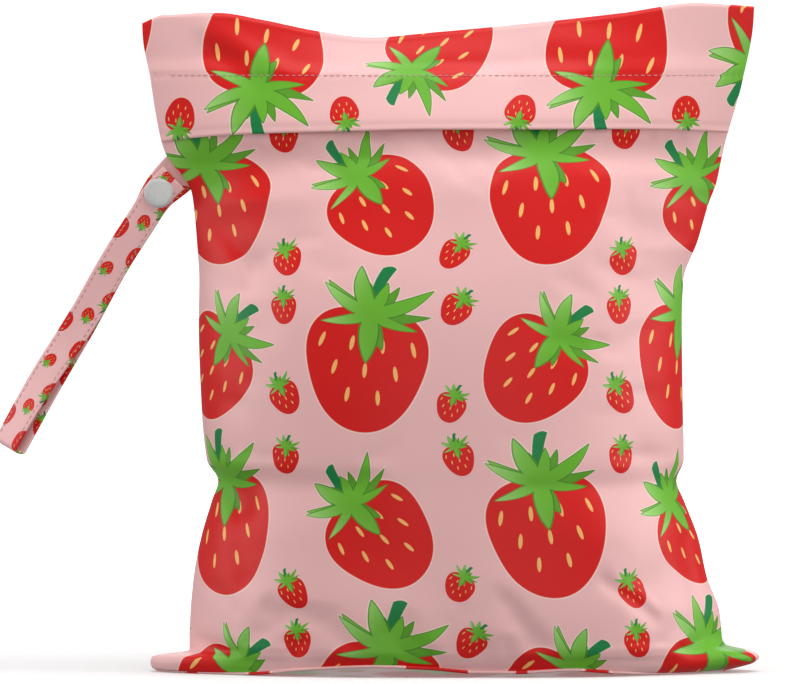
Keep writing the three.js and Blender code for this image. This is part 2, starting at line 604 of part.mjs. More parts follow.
const bag = new THREE.Group();
bag.add(
  named("front_panel", geometryOf(solidOf(frontPanel())), printedCloth),
  named("back_panel_and_flap", geometryOf(solidOf(backPanelAndFlap())), printedCloth),
  named("zipper", geometryOf(solidOf(zipper())), zipperTape),
  named("carry_strap", carryStrap(), strapCloth),
  named("snap_cap", snapCap(FRONT), snapPlastic),
  named("snap_socket", snapSocket(), snapPlastic),
  named("snap_back_cap", snapCap(BACK), snapPlastic),
);

export default bag;
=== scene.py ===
import bpy
import numpy as np
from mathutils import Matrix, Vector


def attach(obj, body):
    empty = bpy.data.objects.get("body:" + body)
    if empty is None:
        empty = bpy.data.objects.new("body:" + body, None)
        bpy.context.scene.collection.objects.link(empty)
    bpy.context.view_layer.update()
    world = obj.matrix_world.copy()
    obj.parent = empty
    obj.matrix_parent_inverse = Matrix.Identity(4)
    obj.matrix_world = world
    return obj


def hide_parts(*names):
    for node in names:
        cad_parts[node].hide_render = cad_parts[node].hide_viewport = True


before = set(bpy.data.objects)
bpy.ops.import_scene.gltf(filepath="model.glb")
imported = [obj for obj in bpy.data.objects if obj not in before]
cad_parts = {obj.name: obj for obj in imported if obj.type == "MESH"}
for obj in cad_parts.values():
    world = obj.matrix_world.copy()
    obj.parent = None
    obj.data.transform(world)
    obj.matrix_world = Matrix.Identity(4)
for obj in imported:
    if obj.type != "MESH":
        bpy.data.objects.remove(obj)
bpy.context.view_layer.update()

# Front panel: laminated, printed polyester, sewn to the back panel at both sides and along its foot. What
# fills the bag pushes it out. Its upper hem lies hidden under the flap.
FLAT_WIDTH = 0.300
HEIGHT = 0.3275
FRONT_BULGE = 0.057
BACK_BULGE = 0.051
CLOTH = 0.0012
SEAM_Y = 0.003
SEAM_GAP = 0.00015
FLAP_HEM = HEIGHT - 0.062
STITCHES = HEIGHT - 0.036
PANEL_HEM = STITCHES - 0.012
FOOT_TOP = 0.0213 * HEIGHT
EAR_TOP = 0.0526 * HEIGHT
EAR_START = 0.78
SAG_FADE = 0.55 * HEIGHT
BOXY_ROUND = 0.65
FRONT = -1
BACK = 1


def table(names, rows):
    """A table's columns by name, from rows of numbers."""
    return dict(zip(names.split(), np.array(rows, float).T))


# The skin by levels, in shares of the height: where its seams run, in shares of the flat half width, how full it
# is, and the two powers that shape its bulge.
LEVELS = table(
    "height left right bulge square round",
    [
        (0.0, 0.86, 0.8, 0.84, 3.6, 0.78),
        (0.0061, 0.863, 0.83, 0.885, 3.5, 0.76),
        (0.0137, 0.865, 0.855, 0.915, 3.4, 0.74),
        (0.0213, 0.866, 0.864, 0.94, 3.3, 0.73),
        (0.029, 0.867, 0.866, 0.955, 3.3, 0.72),
        (0.0359, 0.868, 0.867, 0.965, 3.2, 0.71),
        (0.0419, 0.868, 0.867, 0.97, 3.2, 0.7),
        (0.0526, 0.868, 0.866, 0.98, 3.1, 0.7),
        (0.09, 0.865, 0.858, 0.99, 3.1, 0.69),
        (0.142, 0.855, 0.817, 1.0, 2.9, 0.66),
        (0.198, 0.832, 0.79, 1.0, 2.8, 0.65),
        (0.256, 0.795, 0.742, 0.99, 2.8, 0.65),
        (0.285, 0.775, 0.718, 0.985, 2.8, 0.65),
        (0.316, 0.812, 0.742, 0.99, 2.8, 0.65),
        (0.405, 0.83, 0.738, 0.99, 2.7, 0.66),
        (0.524, 0.838, 0.735, 0.95, 2.6, 0.7),
        (0.585, 0.836, 0.74, 0.9, 2.5, 0.75),
        (0.643, 0.843, 0.785, 0.82, 2.4, 0.82),
        (0.704, 0.853, 0.823, 0.7, 2.3, 0.9),
        (0.734, 0.862, 0.847, 0.63, 2.2, 0.96),
        (0.765, 0.9, 0.861, 0.56, 2.2, 1.0),
        (0.796, 0.948, 0.876, 0.49, 2.2, 1.0),
        (0.881, 0.993, 0.931, 0.29, 2.2, 1.0),
        (0.97, 1.02, 0.967, 0.09, 2.2, 1.0),
        (1.0, 1.022, 0.97, 0.03, 2.2, 1.0),
    ],
)
# How far the corners of the foot are drawn out past the seams, in shares of the flat half width.
EARS = table(
    "height left right",
    [
        (0.0, 0.11, 0.06),
        (0.0061, 0.128, 0.09),
        (0.0137, 0.131, 0.118),
        (0.0213, 0.125, 0.124),
        (0.0245, 0.105, 0.12),
        (0.027, 0.06, 0.114),
        (0.0295, 0.012, 0.104),
        (0.0325, 0.0, 0.085),
        (0.036, 0.0, 0.045),
        (0.04, 0.0, 0.012),
        (0.0526, 0.0, 0.0),
        (1.0, 0.0, 0.0),
    ],
)
# How far the top edge and the flap's hem sag between the seams at -1 and 1, in shares of the height.
SAG = table(
    "across top hem",
    [
        (-1.0, 0.03, 0.021),
        (-0.93, 0.018, 0.016),
        (-0.75, 0.019, 0.009),
        (-0.6, 0.031, 0.006),
        (-0.43, 0.048, 0.004),
        (-0.26, 0.058, 0.002),
        (-0.05, 0.049, 0.0),
        (0.33, 0.031, 0.0),
        (0.58, 0.018, 0.0),
        (0.82, 0.0, 0.002),
        (1.0, 0.003, 0.006),
    ],
)
# The height of the seam along the front's foot, in shares of the height.
FOOT_SEAM = table(
    "across height",
    [
        (-1.0, 0.0031),
        (-0.8, 0.0024),
        (-0.56, 0.0115),
        (-0.3, 0.0165),
        (-0.1, 0.0138),
        (0.1, 0.0078),
        (0.25, 0.0074),
        (0.45, 0.011),
        (0.65, 0.0058),
        (0.85, 0.0024),
        (1.0, 0.005),
    ],
)
# Folds, as fold_depth reads them; a depth below 0 is a ridge.
FRONT_FOLDS = table(
    "a0 h0 a1 h1 depth reach",
    [
        (-0.8, 0.98, -0.58, 0.915, -0.035, 0.022),
        (-0.78, 0.93, -0.66, 0.885, 0.035, 0.02),
        (0.35, 0.965, 0.75, 0.9, -0.02, 0.03),
        (-0.15, 0.92, 0.2, 0.905, 0.02, 0.025),
        (-0.95, 0.77, 0.9, 0.781, 0.06, 0.03),
        (-0.97, 0.709, -0.78, 0.608, 0.075, 0.024),
        (-0.78, 0.608, -0.72, 0.535, 0.04, 0.03),
        (-0.8, 0.732, -0.6, 0.717, -0.045, 0.04),
        (-0.5, 0.687, 0.1, 0.661, 0.06, 0.09),
        (-1.0, 0.293, -0.86, 0.25, 0.1, 0.022),
        (-0.88, 0.26, -0.79, 0.15, 0.06, 0.03),
        (1.0, 0.298, 0.84, 0.323, 0.055, 0.024),
        (0.95, 0.196, 0.92, 0.075, 0.07, 0.016),
        (-0.97, 0.05, -0.84, 0.035, 0.06, 0.012),
        (0.97, 0.06, 0.86, 0.035, 0.06, 0.014),
        (0.6, 0.14, 0.74, 0.09, 0.03, 0.014),
        (-0.7, 0.1, -0.6, 0.045, 0.03, 0.018),
        (0.2, 0.11, 0.3, 0.05, 0.02, 0.02),
        (0.55, 0.263, 0.65, 0.196, -0.04, 0.08),
        (-0.35, 0.196, -0.1, 0.147, 0.03, 0.07),
    ],
)
BACK_FOLDS = table(
    "a0 h0 a1 h1 depth reach",
    [
        (-0.85, 0.859, 0.85, 0.848, 0.05, 0.06),
        (-0.97, 0.717, -0.7, 0.596, 0.07, 0.028),
        (0.75, 0.677, 0.2, 0.495, 0.06, 0.06),
        (-1.0, 0.293, -0.84, 0.263, 0.08, 0.022),
        (1.0, 0.298, 0.82, 0.273, 0.06, 0.024),
        (-0.97, 0.06, -0.84, 0.035, 0.05, 0.018),
        (0.97, 0.06, 0.86, 0.035, 0.05, 0.018),
        (-0.2, 0.293, 0.2, 0.254, -0.04, 0.1),
    ],
)


def along(rows, key, column, place):
    """A table's column at places, by a cubic through its rows that never overshoots them."""
    x, y = rows[key], rows[column]
    slope = np.diff(y) / np.diff(x)
    before, after = slope[:-1], slope[1:]
    level = before * after <= 0
    inner = np.where(level, 0, 2 * before * after / np.where(level, 1, before + after))
    tangent = np.concatenate([slope[:1], inner, slope[-1:]])
    i = np.clip(np.searchsorted(x, place, side="right") - 1, 0, len(x) - 2)
    run = x[i + 1] - x[i]
    t = np.clip((place - x[i]) / run, 0, 1)
    rise = y[i] * (1 + 2 * t) * (1 - t) ** 2 + tangent[i] * run * t * (1 - t) ** 2
    return rise + y[i + 1] * t * t * (3 - 2 * t) + tangent[i + 1] * run * t * t * (t - 1)


def ease(t):
    """A smooth step from 0 to 1 while t goes from 0 to 1."""
    t = np.clip(t, 0, 1)
    return t * t * (3 - 2 * t)


def sagged(across, height):
    """The height of points once their rows have sagged between the seams: the hem's sag comes in from
    SAG_FADE up to the flap's hem and goes again up to the stitches, and the top's grows from there to the top
    edge."""
    hem = along(SAG, "across", "hem", across) * HEIGHT
    top = along(SAG, "across", "top", across) * HEIGHT
    below = hem * ease((height - SAG_FADE) / (FLAP_HEM - SAG_FADE))
    between = hem * (1 - (height - FLAP_HEM) / (STITCHES - FLAP_HEM))
    above = top * (height - STITCHES) / (HEIGHT - STITCHES)
    return height - np.where(height <= FLAP_HEM, below, np.where(height <= STITCHES, between, above))


def fold_depth(folds, across, height):
    """How deep folds press the cloth in: each is a bell, e to the minus (distance / reach) squared, across a
    straight line from (a0, h0) to (a1, h1), in shares of the half width and of the height."""
    x, z = across * FLAT_WIDTH / 2, height
    depth = np.zeros(np.broadcast(x, z).shape)
    for a0, h0, a1, h1, deep, reach in zip(*folds.values()):
        x0, z0 = a0 * FLAT_WIDTH / 2, h0 * HEIGHT
        dx, dz = a1 * FLAT_WIDTH / 2 - x0, h1 * HEIGHT - z0
        t = np.clip(((x - x0) * dx + (z - z0) * dz) / (dx * dx + dz * dz), 0, 1)
        distance = np.hypot(x - x0 - t * dx, z - z0 - t * dz)
        depth += deep * FRONT_BULGE * np.exp(-((distance / (reach * HEIGHT)) ** 2))
    return depth


def skin(side, across, height, lift=0.0):
    """Points of the bag's outer skin. A level's bulge at a share a of its half width is its depth times
    (1 - a ^ square) ^ round, less the folds; near the floor the corners are drawn out into ears."""
    share = height / HEIGHT
    left = -along(LEVELS, "height", "left", share) * FLAT_WIDTH / 2
    right = along(LEVELS, "height", "right", share) * FLAT_WIDTH / 2
    left_ear = -along(EARS, "height", "left", share) * FLAT_WIDTH / 2
    right_ear = along(EARS, "height", "right", share) * FLAT_WIDTH / 2
    roundness = along(LEVELS, "height", "round", share)
    turn = np.clip((1 - roundness) / (1 - BOXY_ROUND), 0, 1)
    ear = np.where(across < 0, left_ear, right_ear) * ease((np.abs(across) - EAR_START) / (1 - EAR_START))
    fullness = (1 - np.abs(across) ** along(LEVELS, "height", "square", share)) ** roundness
    depth = FRONT_BULGE if side == FRONT else BACK_BULGE
    folds = FRONT_FOLDS if side == FRONT else BACK_FOLDS
    bulge = along(LEVELS, "height", "bulge", share) * depth * fullness
    pressed = fold_depth(folds, across, height) * np.sqrt(fullness)
    proud = SEAM_GAP + CLOTH * (1 - turn) + np.maximum(bulge - pressed, 0)
    x = (left + right) / 2 + across * (right - left) / 2 + ear
    return np.stack([x, SEAM_Y + side * (proud + lift), sagged(across, height)], axis=-1)


def grid_faces(rows, cols, turned):
    """The quads of a grid of points, looking to the grid's other side if turned."""
    n = np.arange(rows * cols).reshape(rows, cols)
    corners = [n[:-1, :-1], n[:-1, 1:], n[1:, 1:], n[1:, :-1]]
    return np.stack(corners[::-1] if turned else corners, axis=-1).reshape(-1, 4)


def smooth_mesh(name, points, faces):
    """A smooth-shaded mesh of quads, as an object in the scene."""
    mesh = bpy.data.meshes.new(name)
    mesh.from_pydata(points.reshape(-1, 3).tolist(), [], faces.tolist())
    mesh.polygons.foreach_set("use_smooth", np.ones(len(faces), bool))
    made = bpy.data.objects.new(name, mesh)
    bpy.context.scene.collection.objects.link(made)
    return made


def across_at(share):
    """Places across the bag, closer together towards the seams, for shares of the way from left to right."""
    return np.sin(np.pi * (share - 0.5))


# The creases come from a cloth simulation on a coarser net: the panel is cut a little larger than its smooth
# form, held at its edges, and pushed out by what fills the bag. Only its fine creases are kept.
NET_COLUMNS = 76
NET_ROWS = 64
NET_TOP = HEIGHT - 0.004
EXTRA_CLOTH = 0.035
SETTLE_FRAMES = 45
CREASE_PASSES = 18
CREASE_SHARE = 0.55
CREASE_LIMIT = 0.0022
SEAM_FADE = np.array([4, 7, 7])


def settled(side, held_above):
    """How far the net's points have moved from the smooth skin once the panel has settled."""
    share, height = np.meshgrid(np.linspace(0, 1, NET_COLUMNS), np.linspace(FOOT_TOP, NET_TOP, NET_ROWS))
    points = skin(side, across_at(share), height)
    net = smooth_mesh("net", points, grid_faces(NET_ROWS, NET_COLUMNS, side == BACK))
    held = (share == 0) | (share == 1) | (height <= FOOT_TOP) | (height >= held_above)
    net.vertex_groups.new(name="held").add(np.flatnonzero(held).tolist(), 1.0, "REPLACE")
    cloth = net.modifiers.new("cloth", "CLOTH")
    cloth.settings.vertex_group_mass = "held"
    cloth.settings.shrink_min = -EXTRA_CLOTH
    cloth.settings.use_pressure = True
    cloth.settings.uniform_pressure_force = 3.0
    cloth.settings.quality = 6
    cloth.settings.mass = 0.15
    cloth.settings.bending_stiffness = 0.3
    cloth.settings.effector_weights.gravity = 0
    cloth.point_cache.frame_end = SETTLE_FRAMES
    for now in range(1, SETTLE_FRAMES + 1):
        bpy.context.scene.frame_set(now)
    shown = net.evaluated_get(bpy.context.evaluated_depsgraph_get()).data
    places = np.empty(points.size)
    shown.vertices.foreach_get("co", places)
    bpy.data.objects.remove(net)
    bpy.context.scene.frame_set(1)
    return places.reshape(points.shape) - points


def smoothed(grid, passes):
    """A grid after so many passes of a 1 : 2 : 1 blur both ways."""
    for _ in range(passes):
        for axis in (0, 1):
            wide = np.concatenate([grid.take([0], axis), grid, grid.take([-1], axis)], axis)
            parts = [wide.take(range(k, k + grid.shape[axis]), axis) for k in range(3)]
            grid = (parts[0] + 2 * parts[1] + parts[2]) / 4
    return grid


def cubic_weights(count, places):
    """A matrix that takes count even samples to values at places from 0 to 1 by Catmull-Rom cubics."""
    at = np.clip(places, 0, 1) * (count - 1)
    first = np.clip(np.floor(at).astype(int), 0, count - 2)
    t = at - first
    spline = [-t + 2 * t**2 - t**3, 2 - 5 * t**2 + 3 * t**3, t + 4 * t**2 - 3 * t**3, t**3 - t**2]
    weights = np.zeros((len(places), count))
    for k, weight in enumerate(spline):
        np.add.at(weights, (np.arange(len(places)), np.clip(first + k - 1, 0, count - 1)), weight / 2)
    return weights


def creases(side, held_above, share, height):
    """Moves off the smooth skin at heights and shares across: the net's, less what is wider than a crease,
    never over CREASE_LIMIT, and fading towards the seams by 1 - |across| ^ SEAM_FADE."""
    moved = settled(side, held_above)
    fine = moved - smoothed(moved, CREASE_PASSES)
    size = np.linalg.norm(fine, axis=-1, keepdims=True) + 1e-9
    fine *= CREASE_LIMIT * np.tanh(CREASE_SHARE * size / CREASE_LIMIT) / size
    seam_share = across_at(np.linspace(0, 1, NET_COLUMNS))[:, None]
    fine *= 1 - np.abs(seam_share) ** SEAM_FADE
    rows = cubic_weights(NET_ROWS, (height - FOOT_TOP) / (NET_TOP - FOOT_TOP))
    cols = cubic_weights(NET_COLUMNS, share)
    return np.einsum("ri,ijk,cj->rck", rows, fine, cols)


COLUMNS = 160
STEP = 0.0019
SEAM_RIM = 0.0007
RIM_REACH = 0.0015
FOOT_ROWS = 8
EAR_ROWS = 16
shares = np.linspace(0, 1, COLUMNS + 1)


def steps(start, end):
    """Heights from start to end, about STEP apart."""
    return np.linspace(start, end, max(2, round(abs(end - start) / STEP) + 1))


def foot_seam(across):
    """The height of the seam along the front's foot."""
    return along(FOOT_SEAM, "across", "height", across) * HEIGHT


foot_heights = np.linspace(0, FOOT_TOP, FOOT_ROWS + 1)[:-1]
ear_heights = np.linspace(FOOT_TOP, EAR_TOP, EAR_ROWS + 1)[:-1]
front_heights = np.concatenate([foot_heights, ear_heights, steps(EAR_TOP, PANEL_HEM)])
across, height = np.meshgrid(across_at(shares), front_heights)
risen = foot_seam(across) + (FOOT_TOP - foot_seam(across)) * height / FOOT_TOP
risen = np.where(height < FOOT_TOP, risen, height)
rim = SEAM_RIM * (1 - ease(height / RIM_REACH)) * (1 - across**8)
front_points = skin(FRONT, across, risen, rim)
front_points += creases(FRONT, FLAP_HEM, shares, front_heights)


def unrolled(points):
    """Places of a grid's points on the flat cloth: across, by the length of each row from the middle column,
    and along it, by the length of the middle columns."""
    over = np.linalg.norm(np.diff(points, axis=1), axis=-1).cumsum(axis=1)
    over = np.insert(over, 0, 0, axis=1)
    u = over - over[:, points.shape[1] // 2, None]
    middle = points[:, points.shape[1] // 3 : -points.shape[1] // 3]
    up = np.linalg.norm(np.diff(middle, axis=0), axis=-1).mean(axis=1).cumsum()
    v = np.insert(up, 0, 0)[:, None] + np.zeros_like(u)
    return np.stack([u, v], axis=-1)


# The print repeats on a tile: strawberries by their place on it, half width and tilt. The crown of leaves
# counts as an ellipse when the nearest strawberry is looked for.
TILE = np.array([0.168, 0.163])
FRONT_PRINT = (-0.120, 0.072)
MOTIF_LIFT = 0.22
CROWN_SIDE = 0.1
CROWN_RISE = 0.8
CROWN_FLATNESS = 0.75
CROWN_SHARE = 0.8
MOTIFS = table(
    "x y unit tilt",
    [
        (0.0, 0.0, 0.0297, 8),
        (0.0836, 0.0814, 0.03, -7),
        (0.0847, -0.0033, 0.0253, 42),
        (-0.0011, 0.0781, 0.0253, -38),
        (0.0418, -0.033, 0.0075, 24),
        (0.0407, 0.033, 0.0072, -10),
        (0.0418, 0.0627, 0.0079, 30),
        (0.1243, -0.0297, 0.0072, -28),
        (0.1265, 0.033, 0.0077, 14),
        (0.1243, 0.0583, 0.0072, -20),
        (0.0418, 0.1056, 0.007, 6),
        (0.1276, 0.1056, 0.0075, -34),
    ],
)


def berry_share(x, y):
    """How far round a strawberry's outline lies at points: 1 - .113c + .06cc + .333ccc - .06cccc, with c the
    cosine of the angle from straight down."""
    c = -y / np.hypot(x, y)
    return 1 + c * (c * (c * (0.333 - 0.06 * c) + 0.06) - 0.113)


def printed_places(corners, motifs, tile, start):
    """Each face's corners on the flat cloth, in the frame of the motif nearest to the face: its middle is the
    origin, its half width the unit, and y points to its stem."""
    centre = corners.mean(axis=1)
    nearest = np.full(len(corners), np.inf)
    local = np.zeros_like(corners)
    for x, y, unit, tilt in zip(*motifs.values()):
        c, s = np.cos(np.radians(tilt)), np.sin(np.radians(tilt))
        place = start + np.array([x, y])
        away = centre - place - MOTIF_LIFT * unit * np.array([-s, c])
        copy = np.round(away / tile) * tile
        offset = (np.concatenate([corners, centre[:, None]], axis=1) - place - copy[:, None]) / unit
        side, rise = offset[..., 0], offset[..., 1]
        turned = np.stack([side * c + rise * s, rise * c - side * s], -1)
        across, up = turned[:, -1].T
        crown = (np.hypot(across - CROWN_SIDE, (up - CROWN_RISE) / CROWN_FLATNESS) - 1) * CROWN_SHARE
        distance = np.minimum(np.hypot(across, up) - berry_share(across, up), crown) * unit
        turned = turned[:, :-1]
        closer = distance < nearest
        local[closer] = turned[closer]
        nearest = np.minimum(nearest, distance)
    return local


def lay_print(cloth, faces, flat, motifs, tile, start):
    """Gives a cloth two UV maps: its place on the flat cloth in metres, and its place in the motif."""
    corners = flat.reshape(-1, 2)[faces]
    maps = {"cloth": corners, "print": printed_places(corners, motifs, tile, np.array(start))}
    for name, places in maps.items():
        layer = cloth.data.uv_layers.new(name=name)
        layer.data.foreach_set("uv", places.ravel())


class Socket:
    """A shader value in plain arithmetic: each operator adds a Math node to the value's own material."""

    def __init__(self, out):
        self.out = out

    def node(self, kind, settings, inputs, output=0):
        """A new node of a kind with its settings and inputs by name or number, as one of its outputs."""
        made = self.out.id_data.nodes.new("ShaderNode" + kind)
        for name, value in settings.items():
            setattr(made, name, value)
        for name, value in inputs.items():
            if isinstance(value, Socket):
                self.out.id_data.links.new(value.out, made.inputs[name])
            else:
                made.inputs[name].default_value = value
        return Socket(made.outputs[output])

    def math(self, operation, *others):
        return self.node("Math", {"operation": operation}, dict(enumerate((self, *others))))

    def __add__(self, other):
        return self.math("ADD", other)

    def __sub__(self, other):
        return self.math("SUBTRACT", other)

    def __mul__(self, other):
        return self.math("MULTIPLY", other)

    def __truediv__(self, other):
        return self.math("DIVIDE", other)

    def __radd__(self, other):
        return self.math("ADD", other)

    def __rmul__(self, other):
        return self.math("MULTIPLY", other)

    def __rsub__(self, other):
        return self.node("Math", {"operation": "SUBTRACT"}, {0: other, 1: self})

    def __rtruediv__(self, other):
        return self.node("Math", {"operation": "DIVIDE"}, {0: other, 1: self})

    def __neg__(self):
        return self.math("MULTIPLY", -1.0)

    def fade(self, full, none):
        """1 where the value is at full, 0 where it is at none, and a smooth step between."""
        ramp = {"Value": self, "From Min": none, "From Max": full}
        return self.node("MapRange", {"interpolation_type": "SMOOTHSTEP"}, ramp)

    def parts(self):
        """The x, y and z of a vector."""
        return [Socket(out) for out in self.node("SeparateXYZ", {}, {0: self}).out.node.outputs]

    def bump(self, strength, distance):
        """The normal of a surface whose height is the value."""
        return self.node("Bump", {}, {"Strength": strength, "Distance": distance, "Height": self})

    def feed(self, shader, name):
        """Links the value to one of a shader's sockets."""
        self.out.id_data.links.new(self.out, shader.inputs[name])


def colour(red, green, blue):
    """A colour as it looks on a screen, as the four numbers that a shader takes."""
    look = np.array([red, green, blue])
    return (*np.where(look > 0.04045, ((look + 0.055) / 1.055) ** 2.4, look / 12.92), 1.0)


def painted(share, below, above):
    """One colour with another laid over it where share is 1."""
    return share.node("Mix", {"data_type": "RGBA"}, {0: share, 6: below, 7: above}, 2)


def new_material(name, **settings):
    """A material with settings on its Principled shader, and its place on the object as a Socket."""
    material = bpy.data.materials.new(name)
    material.use_nodes = True
    shader = material.node_tree.nodes["Principled BSDF"]
    for setting, value in settings.items():
        shader.inputs[setting.replace("_", " ")].default_value = value
    place = Socket(material.node_tree.nodes.new("ShaderNodeTexCoord").outputs["Object"])
    return material, shader, place


PINK = colour(0.95, 0.745, 0.74)
PALE_RIM = colour(0.99, 0.87, 0.82)
BERRY_RED = colour(0.85, 0.075, 0.06)
SEED_GOLD = colour(0.98, 0.74, 0.43)
STEM_GREEN = colour(0.07, 0.50, 0.26)
LEAF_RIM = colour(0.24, 0.50, 0.12)
FAR_LEAVES = colour(0.36, 0.62, 0.15), colour(0.52, 0.76, 0.30)
NEAR_LEAVES = colour(0.42, 0.71, 0.18), colour(0.66, 0.86, 0.50)
LEAF_CURL = 0.42
LEAF_BREADTH = 0.36
LEAVES_FROM = 0.72
CROWN_PRESSED = 0.72
STEM_FROM = 0.74
STEM_LENGTH = 0.78
STEM_BREADTH = 0.055
STEM_WIDENING = 0.075
STEM_BEND = 0.32
SEED_ROW = 0.42
SEED_COLUMN = 0.50
SEED_SLANT = 0.4
SEED_BREADTH_SQUARED = 0.0013
SEED_LENGTH_SQUARED = 0.0144
WEAVE_PITCH = 0.0006


def berry_edge(x, y):
    """Below 0 inside a strawberry: the distance from its middle less the outline's, as in berry_share."""
    r = (x * x + y * y + 1e-4).math("SQRT")
    c = -y / r
    return r - (1.0 + c * (c * (c * (0.333 - 0.06 * c) + 0.06) - 0.113))


def leaf_edge(x, y, count, turn, length, breadth, spread):
    """Below 0 inside a ring of pointed leaves round (0, 0), whose tips curl upwards. Each has its own length,
    and its half breadth at a share s of the way out is breadth (1 - s) ^ .8 s ^ .5. A leaf may cross its
    neighbour's sector, so the edge at a point is the least of three leaves'."""
    angle = y.math("ARCTAN2", x) * (count / (2 * np.pi)) + turn
    r = (x * x + y * y).math("SQRT")
    edges = []
    for step in (-1, 0, 1):
        number = angle.math("FLOOR") + step
        inside = (angle - number - 0.5) * (2 * np.pi / count)
        number = number.math("FLOORED_MODULO", count)
        rise = ((number + (0.5 - turn)) * (2 * np.pi / count)).math("COSINE")
        long = (number * 2.4 + turn * 9).math("SINE") * (spread * length) + length
        s = r * inside.math("COSINE") / long
        t = r * inside.math("SINE") / long - rise * s * s * LEAF_CURL
        half = (1 - s).math("MAXIMUM", 0.0).math("POWER", 0.8)
        half = half * s.math("MAXIMUM", 0.0).math("POWER", 0.5)
        edges.append((t.math("ABSOLUTE") - half * breadth).math("MAXIMUM", (s - 1) * 1.2))
    return edges[0].math("MINIMUM", edges[1]).math("MINIMUM", edges[2])


def seed_spots(x, y):
    """1 on a strawberry's seeds: slanting ellipses in rows, each row half a column aside from the last."""
    row = (y / SEED_ROW).math("FLOOR")
    column = (x / SEED_COLUMN + row * 0.5).math("FLOOR")
    down = y - (row + 0.5) * SEED_ROW
    side = x - (column + 0.5 - row * 0.5) * SEED_COLUMN
    seed_x, seed_y = x - side, y - down
    slant = side + seed_x * down * SEED_SLANT
    seed = (slant * slant / SEED_BREADTH_SQUARED + down * down / SEED_LENGTH_SQUARED).fade(0.85, 1.15)
    return seed * berry_edge(seed_x, seed_y).fade(-0.2, -0.17)


def berry_print(place):
    """The printed colour, from the UV map print: a strawberry with seeds, leaves and a stem on pink."""
    x, y, _ = place.node("UVMap", {"uv_map": "print"}, {}).parts()
    body = berry_edge(x, y)
    crown = (y - LEAVES_FROM) / CROWN_PRESSED
    near = leaf_edge(x, crown, 7, 0.25, 0.95, LEAF_BREADTH, 0.20)
    far = leaf_edge(x, crown, 6, 0.8, 0.78, LEAF_BREADTH, 0.22)
    rise = y - STEM_FROM
    bent = x - rise * rise * STEM_BEND
    stem = (bent.math("ABSOLUTE") - (rise * STEM_WIDENING + STEM_BREADTH)).math("MAXIMUM", -rise)
    stem = stem.math("MAXIMUM", rise + bent * bent * 3 - STEM_LENGTH)
    halo = body.math("MINIMUM", near).math("MINIMUM", far).math("MINIMUM", stem)
    look = painted(halo.fade(0.012, 0.028), PINK, PALE_RIM)
    look = painted(body.fade(-0.01, 0.01), look, BERRY_RED)
    look = painted(seed_spots(x, y), look, SEED_GOLD)
    look = painted(stem.fade(-0.005, 0.015), look, STEM_GREEN)
    pale = x.fade(-0.75, 0.15) * (x * x + crown * crown).math("SQRT").math("MINIMUM", 1.0)
    for edge, (deep, light) in ((far, FAR_LEAVES), (near, NEAR_LEAVES)):
        green = painted(edge.fade(-0.01, -0.028), painted(pale, deep, light), LEAF_RIM)
        look = painted(edge.fade(-0.01, 0.01), look, green)
    return look


def woven(x, y, pitch):
    """From -1 to 1 over crossing threads: the sine of 2 pi x / pitch times the sine of 2 pi y / pitch."""
    return (x * (2 * np.pi / pitch)).math("SINE") * (y * (2 * np.pi / pitch)).math("SINE")


def cloth_material(name):
    """Printed polyester: the print, and a fine weave as a bump under its smooth lamination."""
    material, shader, place = new_material(name, Roughness=0.45, Specular_IOR_Level=0.27)
    berry_print(place).feed(shader, "Base Color")
    u, v, _ = place.node("UVMap", {"uv_map": "cloth"}, {}).parts()
    woven(u, v, WEAVE_PITCH).bump(0.12, 0.0001).feed(shader, "Normal")
    return material


front_faces = grid_faces(*front_points.shape[:2], False)
front_panel = smooth_mesh("front_panel_cloth", front_points, front_faces)
lay_print(front_panel, front_faces, unrolled(front_points), MOTIFS, TILE, FRONT_PRINT)
printed_cloth = cloth_material("printed_cloth")
front_panel.data.materials.append(printed_cloth)


def thicken(cloth):
    """Gives a cloth its thickness, inwards."""
    solid = cloth.modifiers.new("thickness", "SOLIDIFY")
    solid.thickness = CLOTH
    solid.offset = -1


thicken(front_panel)
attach(front_panel, "root")
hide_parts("front_panel")

# Back panel and flap: one cloth of the same print. It comes up to the seam at the front's foot, makes the
# base and the back wall, rolls over the top edge and hangs as the flap, hemmed, over the zipper.
FOLD_HEIGHT = HEIGHT - 0.003
FLAP_STAND_OFF = 0.0022
FLAP_GAP = 0.0003
FLAP_SETTLE = 0.012
HEM_LINE = FLAP_HEM + 0.0028
HEM_REACH = 0.0006
HEM_DENT = 0.0006
GROOVE_REACH = 0.0011
GROOVE_DENT = 0.0007
STITCH_PITCH = 0.0032
LIP_ROWS = 5
BASE_ROWS = 44
ROLL_ROWS = 7
FLAP_ROWS = 24
BACK_PRINT = (-0.090, -0.0505)


def flap_lift(across, height):
    """How far the flap's outer face lies in front of the skin: the thickness of what it covers, and more
    towards its free edge, save in the seams; above the stitches it comes back to the skin itself. Two bells,
    e to the minus (distance / reach) squared, dent it along the stitches and its hem."""
    above = (CLOTH + FLAP_GAP) * (1 - ease((height - STITCHES) / FLAP_SETTLE))
    free = FLAP_STAND_OFF * (1 - across**4) * ease((STITCHES - height) / (STITCHES - FLAP_HEM))
    lift = np.where(height >= STITCHES, above, CLOTH + FLAP_GAP + free)
    u = across * FLAT_WIDTH / 2
    groove = np.exp(-(((height - STITCHES) / GROOVE_REACH) ** 2))
    groove = groove * (0.55 + 0.45 * np.cos(u * 2 * np.pi / STITCH_PITCH))
    hem = np.exp(-(((height - HEM_LINE) / HEM_REACH) ** 2))
    return lift - GROOVE_DENT * groove - HEM_DENT * hem


